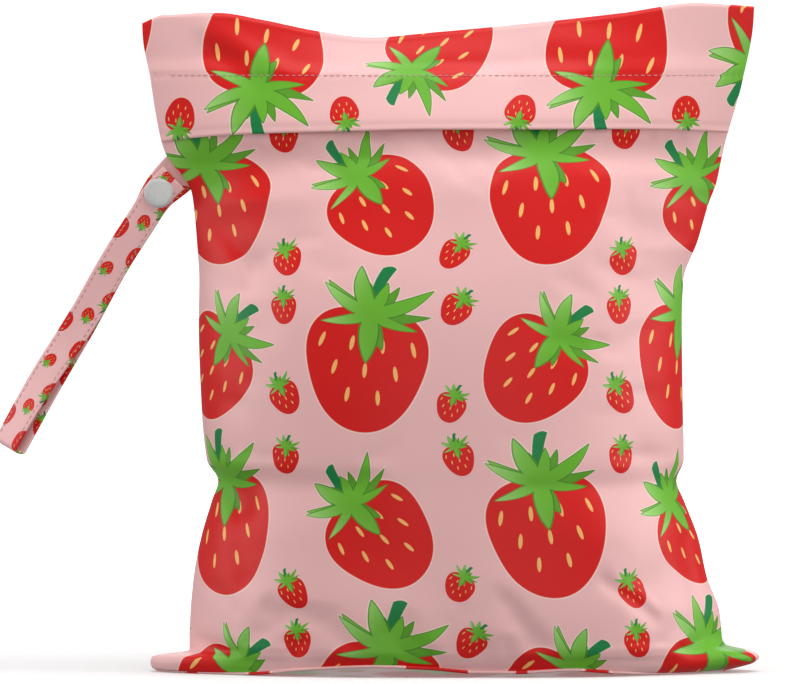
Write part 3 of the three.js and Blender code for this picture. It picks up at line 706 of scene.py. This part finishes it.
middle = across_at(shares)
lip_way = np.linspace(1, 0, LIP_ROWS)[:, None]
arch = foot_seam(middle) - FOOT_SEAM["height"].min() * HEIGHT
lip_heights = arch + lip_way * (foot_seam(middle) - 2 * SEAM_GAP - arch)
lip = skin(FRONT, middle + 0 * lip_heights, lip_heights, rim[0] * lip_way**2)
base_depth = np.linspace(0, 1, BASE_ROWS + 2)[1:-1, None, None]
base = lip[-1] * (1 - base_depth) + skin(BACK, middle, 0 * middle) * base_depth
corner_heights = np.linspace(0, EAR_TOP, FOOT_ROWS + EAR_ROWS + 1)[:-1]
back_heights = np.concatenate([corner_heights, steps(EAR_TOP, FOLD_HEIGHT)])
across, height = np.meshgrid(middle, back_heights)
back_wall = skin(BACK, across, height) + creases(BACK, NET_TOP, shares, back_heights)
hanging_heights = np.linspace(STITCHES, FLAP_HEM, FLAP_ROWS)
flap_heights = np.concatenate([steps(FOLD_HEIGHT, STITCHES)[:-1], hanging_heights])
across, height = np.meshgrid(middle, flap_heights)
flap = skin(FRONT, across, height, flap_lift(across, height))
rear, fore = back_wall[-1], flap[0]
turn = np.linspace(0, np.pi, ROLL_ROWS + 2)[1:-1, None]
roll = np.repeat(rear[None], len(turn), axis=0)
roll[..., 1] = (rear[:, 1] + fore[:, 1]) / 2 + (rear[:, 1] - fore[:, 1]) / 2 * np.cos(turn)
roll[..., 2] = rear[:, 2] + np.minimum(HEIGHT - FOLD_HEIGHT, (rear[:, 1] - fore[:, 1]) / 2) * np.sin(turn)
back_points = np.concatenate([lip, base, back_wall, roll, flap])
back_faces = grid_faces(*back_points.shape[:2], True)
back_panel = smooth_mesh("back_panel_and_flap_cloth", back_points, back_faces)
lay_print(back_panel, back_faces, unrolled(back_points), MOTIFS, TILE, BACK_PRINT)
back_panel.data.materials.append(printed_cloth)
thicken(back_panel)
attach(back_panel, "root")
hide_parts("back_panel_and_flap")

# Zipper: a closed nylon coil on woven polyester tape. It is sewn in between the front panel's hem and the row
# of stitches, and the flap hides it.
COIL_PITCH = 0.0021
COIL_REACH = 0.0016
COIL_RISE = 0.0004
TAPE_SINK = 0.0002
TAPE_ROWS = 15
TAPE_COLUMNS = 600
TAPE_THREAD = 0.0009
# Painted shade for the weave's hollows and painted light for its crowns.
TAPE_HOLLOW_SHADE = colour(0.89, 0.75, 0.74)
TAPE_CROWN_LIGHT = colour(0.95, 0.83, 0.82)


def zipper_points():
    """A strip on the skin with the coil as a low ridge along its middle: COIL_RISE times e to the minus
    (distance / COIL_REACH) to the fourth, times .6 + .4 cos for the notches between the teeth."""
    tape_heights = np.linspace(PANEL_HEM, STITCHES, TAPE_ROWS + 2)[1:-1]
    across, height = np.meshgrid(across_at(np.linspace(0, 1, TAPE_COLUMNS + 1)), tape_heights)
    coil = np.exp(-(((height - (PANEL_HEM + STITCHES) / 2) / COIL_REACH) ** 4))
    teeth = 0.6 + 0.4 * np.cos(across * FLAT_WIDTH / 2 * 2 * np.pi / COIL_PITCH)
    return skin(FRONT, across, height, COIL_RISE * coil * teeth - TAPE_SINK)


zipper_grid = zipper_points()
zipper = smooth_mesh("zipper_strip", zipper_grid, grid_faces(*zipper_grid.shape[:2], False))
thicken(zipper)
zipper_material, zipper_shader, place = new_material("zipper_tape", Roughness=0.6)
x, _, z = place.parts()
tape = woven(x, z, TAPE_THREAD)
# The tape's colour is painted shade in the weave's hollows and painted light on its crowns, set by the same
# height that makes its bump.
painted(tape.fade(0.6, -0.6), TAPE_HOLLOW_SHADE, TAPE_CROWN_LIGHT).feed(zipper_shader, "Base Color")
tape.bump(0.3, 0.0001).feed(zipper_shader, "Normal")
zipper.data.materials.append(zipper_material)
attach(zipper, "root")
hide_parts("zipper")

# Carry strap: a flat tube of the same kind of cloth with a smaller print, stitched along both edges. It
# leaves the left seam, hangs down, turns a little towards its lower end, folds back up on itself and is
# snapped shut.
STRAP_WIDTH = 0.015
STRAP_THICKNESS = 0.0016
STRAP_LENGTH = 0.156
STRAP_ROOT = 0.2505
STRAP_ROOT_WIDTH = 0.020
STRAP_FLARE = 0.026
STRAP_END = 0.0105
STRAP_FOLD_RADIUS = 0.0019
STRAP_SPREAD = 0.003
SPREAD_FROM = 0.5
STRAP_TWIST = np.radians(38)
TWIST_FROM = 0.35
SNAP_DIAMETER = 0.0144
SNAP_PLACE = 0.0144
SOCKET_HEIGHT = 0.0026
SNAP_GAP = 0.0003
EDGE_STITCH = 0.0018
EDGE_DENT = 0.42
EDGE_DENT_REACH = 0.075
LINE_PLACES = 400
LOOK_AHEAD = 0.001
STATIONS = 120
BEND_STATIONS = 11
FACE_COLUMNS = 25
LAYER_AT_SNAP = SOCKET_HEIGHT / 2 + SNAP_GAP + STRAP_THICKNESS / 2
# The strap's way from its root out to the left and down, in shares of its length.
STRAP_WAY = table(
    "out down",
    [
        (-0.03, -0.03),
        (0.0, 0.0),
        (0.064, 0.065),
        (0.113, 0.142),
        (0.199, 0.276),
        (0.305, 0.465),
        (0.42, 0.655),
        (0.528, 0.851),
    ],
)
strap_root = skin(BACK, np.array(-1.0), np.array(STRAP_ROOT)) * [1, 0, 1] + [0, SEAM_Y, 0]


def run_along(places):
    """Lengths along a row of places, from its first."""
    return np.insert(np.linalg.norm(np.diff(places, axis=0), axis=1).cumsum(), 0, 0)


def at_run(distance, run, rows):
    """Rows of three numbers at distances, by straight lines between the rows given for a run of lengths."""
    return np.stack([np.interp(distance, run, rows[:, k]) for k in range(3)], -1)


def strap_line():
    """The strap's middle line as distances from the seam and places in fine steps: out and down from the root
    are cubics of the length of the chords between the rows of STRAP_WAY."""
    chord = np.hypot(np.diff(STRAP_WAY["out"]), np.diff(STRAP_WAY["down"])).cumsum()
    rows = {"at": np.insert(chord, 0, 0), **STRAP_WAY}
    at = np.linspace(0, chord[-1], LINE_PLACES)
    out, down = (along(rows, "at", column, at) * STRAP_LENGTH for column in ("out", "down"))
    places = strap_root + np.stack([-out, 0 * out, -down], -1)
    run = run_along(places)
    hidden = np.hypot(STRAP_WAY["out"][0], STRAP_WAY["down"][0]) * STRAP_LENGTH
    return (run - hidden) * STRAP_LENGTH / (run[-1] - hidden), places


line_at, line_places = strap_line()


def strap_frame(distance):
    """Places on the middle line at distances from the seam, and the directions along and across the strap and
    out through its back layer; the last two turn round the first towards the lower end."""
    centre = at_run(distance, line_at, line_places)
    ahead = at_run(distance + LOOK_AHEAD, line_at, line_places)
    behind = at_run(distance - LOOK_AHEAD, line_at, line_places)
    heading = (ahead - behind) / np.linalg.norm(ahead - behind, axis=-1, keepdims=True)
    wide = np.stack([-heading[..., 2], 0 * heading[..., 0], heading[..., 0]], -1)
    twist = (STRAP_TWIST * ease((distance / STRAP_LENGTH - TWIST_FROM) / (1 - TWIST_FROM)))[..., None]
    depth = np.array([0, 1, 0])
    over = wide * np.cos(twist) - depth * np.sin(twist)
    through = wide * np.sin(twist) + depth * np.cos(twist)
    return centre, heading, over, through


def strap_layer(side, distance):
    """Centres, widths and directions of one layer at distances: it keeps clear of the other by the snap's
    height near the snap and by the fold's radius elsewhere, and the back layer is flared at the seam."""
    centre, heading, over, through = strap_frame(distance)
    near_snap = np.exp(-(((distance - SNAP_PLACE) / (2 * SNAP_DIAMETER)) ** 2))
    apart = STRAP_FOLD_RADIUS + (LAYER_AT_SNAP - STRAP_FOLD_RADIUS) * near_snap
    spread = STRAP_SPREAD * ease((distance / STRAP_LENGTH - SPREAD_FROM) / (1 - SPREAD_FROM))
    centre = centre + side * (through * apart[:, None] + over * spread[:, None] / 2)
    flare = 1 - ease(distance / STRAP_FLARE) if side == BACK else 0 * distance
    width = STRAP_WIDTH + (STRAP_ROOT_WIDTH - STRAP_WIDTH) * flare
    return centre, heading, over, through * side, width


def strap_stations():
    """The whole ribbon from the seam down the back layer, round the fold and up the front layer. Round the
    fold the centre goes from one layer's end to the other's by half of 1 - cos, and outwards by the fold's
    radius times sin."""
    down = strap_layer(BACK, np.linspace(line_at[0], STRAP_LENGTH, STATIONS))
    up = strap_layer(FRONT, np.linspace(STRAP_LENGTH, SNAP_PLACE - STRAP_END, STATIONS))
    turn = np.linspace(0, np.pi, BEND_STATIONS + 2)[1:-1, None]
    last, first = [part[-1] for part in down], [part[0] for part in up]
    centre = last[0] + (first[0] - last[0]) * (1 - np.cos(turn)) / 2
    centre = centre + last[1] * STRAP_FOLD_RADIUS * np.sin(turn)
    through = last[3] * np.cos(turn) + last[1] * np.sin(turn)
    bend = (centre, last[2] + 0 * turn, through, STRAP_WIDTH + 0 * turn[:, 0])
    parts = [(down[0], down[2], down[3], down[4]), bend, (up[0], up[2], up[3], up[4])]
    return [np.concatenate(column) for column in zip(*parts)]


def strap_points():
    """The ribbon's surface and its places on the flat cloth. Round a station u goes from -1 to 1 over its
    outer face and back under it; half its thickness is (1 - |u| ^ 9) ^ .5, dented along both rows of
    stitches, and 0 in an extra ring that closes each end."""
    centre, over, through, width = (np.concatenate([part[:1], part, part[-1:]]) for part in strap_stations())
    run = run_along(centre)[:, None]
    half = np.sin(np.linspace(-np.pi / 2, np.pi / 2, FACE_COLUMNS))
    u = np.concatenate([half, half[-2:0:-1]])[None, :]
    face = np.concatenate([np.ones(FACE_COLUMNS), -np.ones(FACE_COLUMNS - 2)])[None, :]
    seam = (STRAP_WIDTH / 2 - EDGE_STITCH) / (STRAP_WIDTH / 2)
    dent = np.exp(-(((np.abs(u) - seam) / EDGE_DENT_REACH) ** 2))
    dent = dent * (0.65 + 0.35 * np.cos(run * 2 * np.pi / STITCH_PITCH))
    plump = np.sqrt(1 - np.abs(u) ** 9) - EDGE_DENT * dent
    sideways = (u * width[:, None] / 2)[..., None] * over[:, None]
    outwards = (face * plump * STRAP_THICKNESS / 2)[..., None] * through[:, None]
    outwards[[0, -1]] = 0
    flat = np.stack([u * STRAP_WIDTH / 2 + 0 * run, run + 0 * u], -1)
    return centre[:, None] + sideways + outwards, flat


def closed_faces(rows, cols):
    """The quads of a grid of points that closes round its columns."""
    n = np.arange(rows * cols).reshape(rows, cols)
    n = np.concatenate([n, n[:, :1]], axis=1)
    return np.stack([n[:-1, :-1], n[:-1, 1:], n[1:, 1:], n[1:, :-1]], axis=-1).reshape(-1, 4)


STRAP_TILE = np.array([0.040, 0.053])
STRAP_MOTIFS = table(
    "x y unit tilt",
    [
        (-0.002, 0.003, 0.0031, 165),
        (0.0092, 0.0135, 0.0057, 200),
        (-0.0088, 0.0225, 0.0055, 150),
        (0.0015, 0.0315, 0.0032, 190),
        (0.0088, 0.0425, 0.005, 165),
        (0.018, 0.03, 0.0036, 172),
        (0.019, 0.004, 0.0036, 172),
    ],
)
strap_grid, strap_flat = strap_points()
strap_faces = closed_faces(*strap_grid.shape[:2])
strap = smooth_mesh("carry_strap_cloth", strap_grid, strap_faces)
lay_print(strap, strap_faces, strap_flat, STRAP_MOTIFS, STRAP_TILE, (0.0, 0.0))
strap.data.materials.append(cloth_material("strap_cloth"))
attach(strap, "root")
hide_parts("carry_strap")

# Stitches: polyester thread, in one row across the flap over the zipper and in two along the strap. Each
# stitch lies in the dent that it pulls into the cloth, with both its ends down through it.
THREAD_RADIUS = 0.00022
STITCH_SHARE = 0.66
STITCH_RISE = 0.0003
STITCH_RINGS = 7
STITCH_SIDES = 6
STITCH_BED = 0.3
FLAP_ROW = (-0.138, 0.137)
STRAP_ROW_START = 0.006
STRAP_ROW_SHORT = 0.004
STRAND_PITCH = 0.0005
# Painted shade for the grooves between the thread's strands and painted light for their crowns.
STRAND_HOLLOW_SHADE = colour(0.74, 0.54, 0.56)
STRAND_CROWN_LIGHT = colour(0.85, 0.65, 0.67)


def stitches(name, starts, ends, outwards):
    """Short tubes from starts to ends; at a share t of the way each rises outwards by STITCH_RISE times the
    sine of pi t, and its radius is (sin pi t) ^ .3 of the thread's."""
    way = np.linspace(0.02, 0.98, STITCH_RINGS)[:, None]
    swell = np.sin(np.pi * way)
    middle = starts[:, None] + (ends - starts)[:, None] * way + outwards[:, None] * STITCH_RISE * swell
    heading = (ends - starts) / np.linalg.norm(ends - starts, axis=1, keepdims=True)
    sideways = np.cross(heading, outwards)[:, None, None]
    angle = np.linspace(0, 2 * np.pi, STITCH_SIDES + 1)[:-1, None]
    ring = np.cos(angle) * sideways + np.sin(angle) * outwards[:, None, None]
    points = middle[:, :, None] + THREAD_RADIUS * (swell**0.3)[None, :, None] * ring
    first_of_each = STITCH_RINGS * STITCH_SIDES * np.arange(len(starts))[:, None, None]
    faces = (closed_faces(STITCH_RINGS, STITCH_SIDES) + first_of_each).reshape(-1, 4)
    return smooth_mesh(name, points, faces)


def flap_stitches():
    """The row over the zipper, laid on the flap's groove from seam to seam."""
    start = np.arange(*FLAP_ROW, STITCH_PITCH) - STITCH_PITCH * STITCH_SHARE / 2
    level = np.full(start.shape, STITCHES)
    ends = []
    for u in (start, start + STITCH_PITCH * STITCH_SHARE):
        share = u / (FLAT_WIDTH / 2)
        ends.append(skin(FRONT, share, level, flap_lift(share, level)))
    return stitches("flap_stitches", *ends, np.tile([0.0, -1.0, 0.0], (len(start), 1)))


def strap_stitches():
    """Two rows along each of the strap's faces, in the dents beside its edges."""
    centre, over, through, width = strap_stations()
    run = run_along(centre)
    start = np.arange(STRAP_ROW_START, run[-1] - STRAP_ROW_SHORT, STITCH_PITCH)
    end = start + STITCH_PITCH * STITCH_SHARE
    bed = through * STRAP_THICKNESS * STITCH_BED
    rows = []
    for edge in (-1, 1):
        line = centre + edge * over * (width / 2 - EDGE_STITCH)[:, None] + bed
        rows.append((at_run(start, run, line), at_run(end, run, line), at_run(start, run, through)))
    return stitches("strap_stitches", *(np.concatenate(column) for column in zip(*rows)))


thread_material, thread_shader, place = new_material("thread", Roughness=0.55)
x, _, z = place.parts()
strands = ((x - z) * (2 * np.pi / STRAND_PITCH)).math("SINE")
# The thread's colour is painted shade in the grooves between its strands and painted light on their crowns, set
# by the same height that makes its bump.
painted(strands.fade(0.7, -0.7), STRAND_HOLLOW_SHADE, STRAND_CROWN_LIGHT).feed(thread_shader, "Base Color")
strands.bump(0.4, 0.00005).feed(thread_shader, "Normal")
for rows_of_stitches, slot in ((flap_stitches(), "printed_cloth"), (strap_stitches(), "strap_cloth")):
    rows_of_stitches.data.materials.append(thread_material)
    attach(rows_of_stitches, "root")

# Snap: two moulded caps of satin plastic whose posts go through the strap's layers, and the joined socket and
# stud between them, which the posts are pressed into.
SNAP_CAP_HEIGHT = 0.0022
SNAP_POST = 0.0017
SNAP_BEAD = 0.0008
SNAP_DOME = 0.0006
DOME_EDGE = 0.86
DOME_MIDDLE = 0.002
BEAD_ROWS = 13
DOME_ROWS = 16
SNAP_AXIS = 0.00001
SNAP_SIDES = 96
SOCKET_RADIUS = 0.00525
SOCKET_BEVEL = 0.00025
SOCKET_WALL = 0.0008
SNAP_SHADE = colour(0.785, 0.79, 0.785)
SNAP_LIGHT = colour(0.815, 0.82, 0.815)
snap_centre, _, snap_over, _ = (part[0] for part in strap_frame(np.array([SNAP_PLACE])))


def turned_round(name, profile, side):
    """A profile of radius and height, turned round the snap's axis; heights count outwards on its side."""
    radius, rise = np.array(profile, float).T
    angle = np.linspace(0, 2 * np.pi, SNAP_SIDES + 1)[:-1][None, :]
    up = np.cross(snap_over, [0, side, 0])
    wheel = np.cos(angle)[..., None] * snap_over + np.sin(angle)[..., None] * up
    points = snap_centre + radius[:, None, None] * wheel + (rise[:, None, None] * [0, side, 0])
    return smooth_mesh(name, points, closed_faces(*points.shape[:2]))


def cap_profile():
    """A cap from its post's end out over its underside, round its rim and in over its low dome, which falls
    by SNAP_DOME s ^ 4 at a share s of the radius."""
    rim = SNAP_DIAMETER / 2
    floor = LAYER_AT_SNAP + STRAP_THICKNESS / 2 + SNAP_GAP / 2
    post = [(SNAP_AXIS, SOCKET_HEIGHT / 2), (SNAP_POST, SOCKET_HEIGHT / 2), (SNAP_POST, floor)]
    around = np.linspace(-np.pi / 2, np.pi / 2, BEAD_ROWS)
    middle_radius, middle_height = rim - SNAP_BEAD, floor + SNAP_BEAD
    bead = [(middle_radius + SNAP_BEAD * np.cos(a), middle_height + SNAP_BEAD * np.sin(a)) for a in around]
    inwards = np.linspace(DOME_EDGE, DOME_MIDDLE, DOME_ROWS)
    dome = [(rim * s, floor + SNAP_CAP_HEIGHT - SNAP_DOME * s**4) for s in inwards]
    return [*post, *bead, *dome]


snap_plastic, snap_shader, place = new_material("snap_plastic")
grain = place.node("TexNoise", {}, {"Vector": place, "Scale": 700.0, "Detail": 3.0})
painted(grain.fade(0.7, 0.3), SNAP_SHADE, SNAP_LIGHT).feed(snap_shader, "Base Color")
(grain * 0.16 + 0.22).feed(snap_shader, "Roughness")
grain.bump(0.15, 0.00005).feed(snap_shader, "Normal")
socket_half = SOCKET_HEIGHT / 2
socket_face = SOCKET_RADIUS - SOCKET_BEVEL
socket_profile = [
    (SNAP_AXIS, -socket_half),
    (socket_face, -socket_half),
    (SOCKET_RADIUS, -SOCKET_WALL),
    (SOCKET_RADIUS, SOCKET_WALL),
    (socket_face, socket_half),
    (SNAP_AXIS, socket_half),
]
for node, profile, side in (
    ("snap_cap", cap_profile(), FRONT),
    ("snap_back_cap", cap_profile(), BACK),
    ("snap_socket", socket_profile, BACK),
):
    piece = turned_round(node + "_fine", profile, side)
    piece.data.materials.append(snap_plastic)
    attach(piece, "root")
    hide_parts(node)

# Camera: in front and a little above the middle of the bag, as far off as a long lens stands in a studio, so
# that the bag shows almost without perspective.
CAMERA_AIM = Vector((-0.0274, 0, 0.1612))
CAMERA_PITCH = np.radians(2)
CAMERA_DISTANCE = 6
CAMERA_LENS = 553.0
CAMERA_SENSOR = 36
scene = bpy.context.scene
scene.view_settings.view_transform = "Standard"
camera = bpy.data.objects.new("camera", bpy.data.cameras.new("camera"))
scene.collection.objects.link(camera)
away = Vector((0, -np.cos(CAMERA_PITCH), np.sin(CAMERA_PITCH)))
camera.location = CAMERA_AIM + CAMERA_DISTANCE * away
camera.rotation_euler = away.to_track_quat("Z", "Y").to_euler()
camera.data.lens = CAMERA_LENS
camera.data.sensor_width = CAMERA_SENSOR
scene.camera = camera

# Floor and backdrop: one pale sweep, a round floor that rises into a wall all round, with the camera inside
# it. It takes the bag's shadow near its middle, glows white farther out, and lights nothing itself.
SWEEP_RADIUS = 8.0
SWEEP_BEND = 1.5
SWEEP_HEIGHT = 7.0
SWEEP_SIDES = 96
SWEEP_GREY = (0.8, 0.8, 0.8, 1.0)
GLOW_START = 0.3
GLOW_END = 0.9
GLOW_NEAR = (0.17, 0.17, 0.17, 1.0)
GLOW_FAR = (1.0, 1.0, 1.0, 1.0)


def studio_sweep():
    """A profile of radius and height, turned round the Z axis: a flat floor, a quarter circle and a wall."""
    bend = np.linspace(0, np.pi / 2, 17)
    curve = SWEEP_RADIUS + SWEEP_BEND * np.sin(bend)
    radius = np.concatenate([[0.0001, 0.5, 2.0], curve, [SWEEP_RADIUS + SWEEP_BEND]])
    z = np.concatenate([[0.0, 0.0, 0.0], SWEEP_BEND * (1 - np.cos(bend)), [SWEEP_HEIGHT]])
    angle = np.linspace(0, 2 * np.pi, SWEEP_SIDES + 1)[:-1]
    points = [radius[:, None] * np.cos(angle), radius[:, None] * np.sin(angle), z[:, None] + 0 * angle]
    return smooth_mesh("studio_sweep", np.stack(points, -1), closed_faces(len(radius), SWEEP_SIDES))


sweep = studio_sweep()
sweep_finish = {"Base_Color": SWEEP_GREY, "Roughness": 1.0, "Emission_Strength": 1.0}
sweep_material, sweep_shader, place = new_material("studio_sweep", **sweep_finish)
x, y, _ = place.parts()
far_off = (x * x + y * y).math("SQRT").fade(GLOW_END, GLOW_START)
painted(far_off, GLOW_NEAR, GLOW_FAR).feed(sweep_shader, "Emission Color")
sweep.data.materials.append(sweep_material)
sweep.visible_diffuse = False
sweep.visible_glossy = False

# Light: large square soft lamps in a dim white room, one high in front, one at each side, one low in front
# and one behind. All of them look at the middle of the bag.
LAMPS_LOOK_AT = Vector((0, 0, 0.15))
ROOM_LIGHT = 0.28


def soft_lamp(name, place, size, power):
    """A square area lamp of a size in metres and a power in watts."""
    lamp = bpy.data.lights.new(name, "AREA")
    lamp.size = size
    lamp.energy = power
    made = bpy.data.objects.new(name, lamp)
    made.location = place
    made.rotation_euler = (Vector(place) - LAMPS_LOOK_AT).to_track_quat("Z", "Y").to_euler()
    bpy.context.scene.collection.objects.link(made)


soft_lamp("top", place=(0.15, -0.3, 1.7), size=1.1, power=18)
soft_lamp("right", place=(1.6, -0.3, 0.5), size=1.2, power=15)
soft_lamp("left", place=(-1.6, -0.25, 0.45), size=1.2, power=13)
soft_lamp("low", place=(0.3, -2.4, 0.1), size=1.4, power=15)
soft_lamp("back", place=(0.2, 2.2, 1.0), size=1.4, power=12)
world = bpy.data.worlds.new("studio")
world.use_nodes = True
room = world.node_tree.nodes["Background"]
room.inputs["Color"].default_value = (1, 1, 1, 1)
room.inputs["Strength"].default_value = ROOM_LIGHT
scene.world = world
